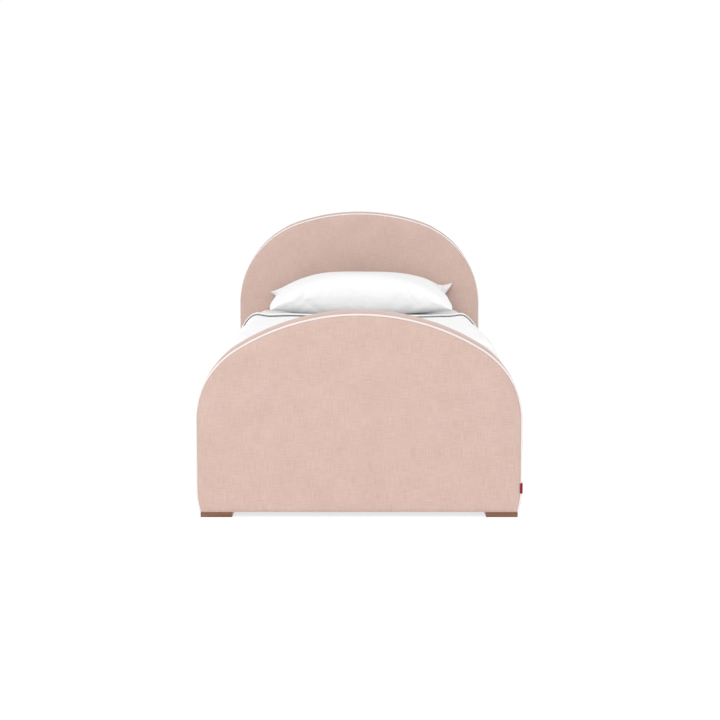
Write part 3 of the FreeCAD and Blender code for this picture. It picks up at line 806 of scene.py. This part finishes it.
def duvet_run(foot_y, head_y, thick):
    """Lengthwise path of the duvet: (y, height, way its upper layer faces).

    It rises out of the gap at the foot, runs flat and turns back over itself at the head.
    """
    bend = 9 * MM
    run = [(foot_y, -bend - FOOT_TUCK * (1 - k / 7), -math.pi / 2) for k in range(7)]
    for k in range(6):
        a = math.pi / 2 * k / 6
        run.append((foot_y + bend * (1 - math.cos(a)), -bend * (1 - math.sin(a)), a - math.pi / 2))
    wrap = thick + 0.1 * MM
    turn_y = head_y - wrap
    run += [(y, 0.0, 0.0) for y in np.linspace(foot_y + bend, turn_y, 82)]
    for k in range(1, 8):
        a = math.pi * k / 8
        run.append((turn_y + wrap * math.sin(a), wrap * (1 - math.cos(a)), a))
    run += [(turn_y - 8 * MM * k, 2 * wrap, math.pi) for k in range(5)]
    return run


def soften_duvet(obj, sheet_high, rail_high, low):
    """Loose folds: shallow swells on top, upright folds that open towards the hem of each flap."""
    co = points_of(obj)
    x, y, z = co.T
    side = np.sign(x)
    flap = np.clip((np.abs(x) - sheet_high.x) / (rail_high.x - sheet_high.x), 0, 1)
    hang = np.clip((rail_high.z - z) / (rail_high.z - low.z), 0, 1)
    inner = np.clip((y - low.y) / (60 * MM), 0, 1)
    folds = wobble(0 * x + side, y, 1.0 + 0.25 * z, 0.075, seed=6.0) + 0.6
    swells = wobble(x, y, 3.0, 0.21, seed=2.0) + 0.5 * wobble(x, y, 8.0, 0.09, seed=5.0)
    ridges = np.clip(1 - 3.2 * np.abs(wobble(x + 0.3 * y, 0.4 * y, 6.0, 0.19, seed=11.0)), 0, 1)
    co[:, 0] += side * flap * inner * FLAP_FOLD * np.clip(folds, 0, 1.5) * (0.10 + 0.90 * hang)
    top = (1 - flap) * inner
    co[:, 2] += top * (TOP_SWELL * np.clip(swells + 0.3, 0, 2) + TOP_RIDGE * ridges ** 2)
    shoulder = np.exp(-((np.abs(x) - SHOULDER_X) / (26 * MM)) ** 2) * np.clip((y - 0.04) / 0.1, 0, 1)
    co[:, 2] += SHOULDER_LIFT * shoulder * (z > sheet_high.z - 20 * MM)
    above_rail = np.clip((z - rail_high.z) / (130 * MM), 0, 1)
    towards_foot = np.clip((160 * MM - y) / (300 * MM), 0.2, 1) * np.clip((y - low.y) / (330 * MM), 0, 1)
    over_edge = np.clip((np.abs(x) - BULGE_X) / (20 * MM), 0, 1)
    co[:, 0] += side * SIDE_BULGE * np.sin(math.pi * above_rail) * towards_foot * over_edge
    co[:, 2] += flap * inner * hang * HEM_WAVE * wobble(0 * x + side, y, 9.0, 0.2, seed=3.0)
    set_points(obj, co)


def drape_section(sheet_high, rail_high, hem_z):
    """Whole cross-section under the duvet, its outward directions and the length along it."""
    rise = 1.4 * MM
    half = drape_line(sheet_high.x + rise, sheet_high.z + rise, rail_high.x + 2.4 * MM,
                      rail_high.z + 2 * MM, hem_z, 9 * MM)
    under = np.vstack([(half[1:] * [-1, 1])[::-1], half])
    tangent = np.gradient(under, axis=0)
    tangent /= np.linalg.norm(tangent, axis=1)[:, None]
    outward = np.column_stack([-tangent[:, 1], tangent[:, 0]])
    steps = np.linalg.norm(np.diff(under, axis=0), axis=1)
    return under, outward, np.concatenate([[0.0], np.cumsum(steps)])


def duvet():
    """A light quilt over the mattress and both rails, turned back at the head and puffed."""
    low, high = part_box("duvet")
    sheet_low, sheet_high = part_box("fitted_sheet")
    rail_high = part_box("right_rail_cover")[1]
    thick = DUVET_THICKNESS
    under, outward, lengths = drape_section(sheet_high, rail_high, low.z)
    total, n = lengths[-1], len(under)
    upright = np.clip(outward[:, 1] / 0.6, 0, 1)
    upright = upright * upright * (3 - 2 * upright)
    run = duvet_run(sheet_low.y - 3 * MM, high.y - 1 * MM, thick)
    travel = np.concatenate([[0.0], np.cumsum([math.dist(p[:2], q[:2]) for p, q in zip(run, run[1:])])])
    rows, flat, pinned = [], [], []
    for (y, height, angle), along in zip(run, travel):
        edge_y = min(along, travel[-1] - along)
        turned = angle > 0.6 * math.pi
        tucked = angle < 0
        lift = 0.0
        if turned:
            lift = 2.4 * MM * upright * np.clip(wobble(under[:, 0], 2.0, under[:, 1], 0.10), 0, 1)
        if tucked:
            height, angle = height * upright, angle * upright
        for layer in (1, 0):
            edge = np.minimum(np.minimum(lengths, total - lengths), edge_y)
            swell = layer * thick * (0.3 + 0.7 * np.sqrt(np.clip(edge / (20 * MM), 0, 1)))
            p = under + outward * (height + lift + swell * np.cos(angle))[:, None]
            order = slice(None) if layer else slice(None, None, -1)
            rows.append(np.column_stack([p[:, 0], y + swell * np.sin(angle), p[:, 1]])[order])
            flat.append(np.column_stack([lengths, np.full(n, along)])[order])
            pinned.append(np.full(n, tucked or bool(layer) == turned))
    vertices, uv = np.vstack(rows), np.vstack(flat)
    faces = grid_faces(len(run), 2 * n, loop_columns=True)
    for first in (0, (len(run) - 1) * 2 * n):
        last = first + 2 * n - 1
        faces += [(first + j, first + j + 1, last - j - 1, last - j) for j in range(n - 1)]
    obj = mesh_object("duvet_quilt", vertices, faces)
    recalculate_normals(obj)
    cloth_coordinates(obj, uv)
    simulate(obj, 3.0, 14, 5 * MM, grow=0.03, pinned=np.concatenate(pinned))
    soften_duvet(obj, sheet_high, rail_high, low)
    subdivide(obj)
    finish_piece(obj, "duvet_cotton", "duvet", "duvet")


def pillow_blank(name, width, depth, thick, step):
    """A flat sewn pillow: two layers that meet at a seam, the sides cut in a little."""
    nx, ny = round(width / step), round(depth / step)
    vertices, uv = [], []
    for layer in (1, -1):
        for i in range(nx + 1):
            for j in range(ny + 1):
                u, v = 2 * i / nx - 1, 2 * j / ny - 1
                x = u * width / 2 * (1 - 0.035 * (1 - v * v))
                y = v * depth / 2 * (1 - 0.045 * (1 - u * u))
                edge = min(1 - abs(u), 1 - abs(v))
                z = layer * thick / 2 * min(1.0, edge * 6)
                vertices.append((x, y, z))
                uv.append((x, y))
    faces = []
    for layer in (0, 1):
        first = layer * (nx + 1) * (ny + 1)
        quads = grid_faces(nx + 1, ny + 1, first=first)
        faces += quads if layer else [q[::-1] for q in quads]
    obj = mesh_object(name, vertices, faces)
    cloth_coordinates(obj, uv)
    bm = bmesh.new()
    bm.from_mesh(obj.data)
    bmesh.ops.remove_doubles(bm, verts=bm.verts, dist=0.01 * MM)
    bmesh.ops.recalc_face_normals(bm, faces=bm.faces)
    bm.to_mesh(obj.data)
    bm.free()
    return obj


def puffed_pillow(size):
    blank_x, blank_y = size.x * 1.06, size.y * 1.08
    obj = pillow_blank("pillow_case", blank_x, blank_y, 10 * MM, 11 * MM)
    simulate(obj, 5.0, 11, 0.2)
    return obj


def slump_pillow(co, u, v):
    """Lets the crown fall away to its ends, turns up the rear corners and droops the front ones."""
    soft = wobble(co[:, 0], co[:, 1], co[:, 2], 0.17, seed=4.0)
    rear, right = v > 0, (u > 0).astype(int)

    def by_side(pair):
        return np.array(pair)[right]

    co[:, 2] += 5 * MM * soft * (1 - u ** 2) * (1 - v ** 2)
    slump = np.clip(1 - by_side(PILLOW_SLUMP) * np.abs(u) ** 3.1, 0.05, 1)
    co[:, 2] *= np.where(co[:, 2] > 0, slump, 1.0)
    co[:, 0] += by_side(PILLOW_END_PUSH) * np.abs(u) ** 5 * (1 - v ** 2)
    corner = np.clip(np.abs(u * v), 0, 1)
    ear = corner ** 5
    co[:, 2] += np.where(rear, ear * by_side(EAR_LIFT), -FRONT_DROOP * corner ** 2.5)
    co[:, 0] += np.sign(u) * np.where(rear, by_side(EAR_SPREAD) * ear, -by_side(FRONT_GATHER) * corner ** 3)


def pillow():
    """A soft pillow laid against the headboard with its rear ears turned up."""
    low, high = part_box("pillowcase")
    size = high - low
    obj = puffed_pillow(size)
    co = points_of(obj)
    span = co.max(0) - co.min(0)
    co = (co - (co.max(0) + co.min(0)) / 2) / span
    u, v = 2 * co[:, 0], 2 * co[:, 1]
    co *= np.array([size.x, size.y, size.z * 1.08])
    slump_pillow(co, u, v)
    middle = (low + high) / 2
    co += np.array([middle.x, middle.y, low.z + size.z * 0.52])
    reach = np.hypot(1 - np.abs(u), 0.72 * (1 - np.abs(v)))
    bearing = np.arctan2(1 - np.abs(v) + 1e-6, 1 - np.abs(u) + 1e-6)
    creases = wobble(bearing * 0.9, np.sign(u) * 3, np.sign(v) * 5, 0.12, seed=8.0)
    co[:, 2] += 2.4 * MM * creases * np.exp(-((reach - 0.28) / 0.22) ** 2)
    floor = low.z + 0.4 * MM
    squeeze = 14 * MM
    below = floor + squeeze - co[:, 2]
    co[:, 2] = np.where(below > 0, floor + squeeze * np.exp(-np.maximum(below, 0) / squeeze), co[:, 2])
    set_points(obj, co)
    subdivide(obj)
    finish_piece(obj, "pillow_cotton", "pillow", "pillowcase", "pillow_insert")


# ======================================================================================
# Side tab
# ======================================================================================
def side_tab():
    """A blank folded tape over the front cord of the footboard."""
    low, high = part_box("side_tab")
    outline = Outline("footboard")
    half, y0 = outline.half, outline.y0
    lift = 0.5 * MM
    bend = 3.2 * MM
    path = [(half - 6.5 * MM, y0 - 1.2 * MM), (half - bend, y0 - lift - 0.4 * MM)]
    for k in range(1, 7):
        a = math.radians(-90 + 15 * k)
        path.append((half + lift - bend + bend * math.cos(a), y0 - lift + bend + bend * math.sin(a)))
    path += [(half + lift, y0 + 7 * MM), (half + 1.0 * MM, y0 + 11 * MM), (half + 1.1 * MM, high.y)]
    zs = np.linspace(low.z, high.z, 9)
    vertices, uv, run = [], [], 0.0
    for i, (x, y) in enumerate(path):
        if i:
            run += math.dist(path[i - 1], (x, y))
        for z in zs:
            vertices.append((x, y, z))
            uv.append((z, run))
    obj = mesh_object("side_tape", vertices, grid_faces(len(path), len(zs)))
    cloth_coordinates(obj, uv)
    solidify(obj, 0.9 * MM, offset=0.0)
    subdivide(obj)
    finish_piece(obj, "tab_cloth", "bed_frame", "side_tab")


# ======================================================================================
# Camera, light and floor
# ======================================================================================
def stage():
    """The photograph's camera, a white floor and even studio light."""
    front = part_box("footboard_front_cover")[0].y
    camera_data = bpy.data.cameras.new("camera")
    camera_data.sensor_width = 36.0
    camera_data.lens = CAMERA_LENS
    camera = bpy.data.objects.new("camera", camera_data)
    camera.location = (CAMERA_SHIFT, front - CAMERA_DISTANCE, CAMERA_HEIGHT)
    camera.rotation_euler = (math.radians(90 - CAMERA_DOWN), 0.0, 0.0)
    scene.collection.objects.link(camera)
    scene.camera = camera

    reach = 60
    corners = [(-reach, -reach, 0), (reach, -reach, 0), (reach, reach, 0), (-reach, reach, 0)]
    floor = mesh_object("floor", corners, [(0, 1, 2, 3)])
    s = Shader("floor_paint")
    grain = s.noise(object_vector(s), 3.0)
    s.set(Base_Color=s.mix(grain, (0.54, 0.54, 0.54), (0.56, 0.56, 0.56)), Roughness=0.9,
          Specular_IOR_Level=0.0, Emission_Color=(1.0, 1.0, 1.0), Emission_Strength=0.72)
    floor.data.materials.append(s.material)

    world = bpy.data.worlds.new("studio")
    world.use_nodes = True
    background = world.node_tree.nodes["Background"]
    background.inputs["Color"].default_value = (1.0, 1.0, 1.0, 1.0)
    background.inputs["Strength"].default_value = 1.02
    scene.world = world
    lamps = (("key", (-2.4, front - 2.4, 3.6), 2.0, 36.0), ("front", (0.1, front - 1.2, 3.0), 1.6, 14.0))
    for name, place, size, power in lamps:
        lamp = bpy.data.lights.new(name, "AREA")
        lamp.energy, lamp.size = power, size
        obj = bpy.data.objects.new(name, lamp)
        obj.location = place
        aim = Vector((0, 0, 0.35)) - Vector(place)
        obj.rotation_euler = aim.to_track_quat("-Z", "Y").to_euler()
        scene.collection.objects.link(obj)
    sun = bpy.data.lights.new("window", "SUN")
    sun.energy, sun.angle = 1.08, math.radians(35)
    window = bpy.data.objects.new("window", sun)
    window.rotation_euler = (math.radians(73), 0.0, math.radians(-10))
    scene.collection.objects.link(window)
    scene.view_settings.view_transform = "Standard"


stage()
dress_cad_nodes()
for board_name in ("footboard", "headboard"):
    make_board(board_name)
rail_cover("left", -1)
rail_cover("right", 1)
fitted_sheet()
duvet()
pillow()
side_tab()
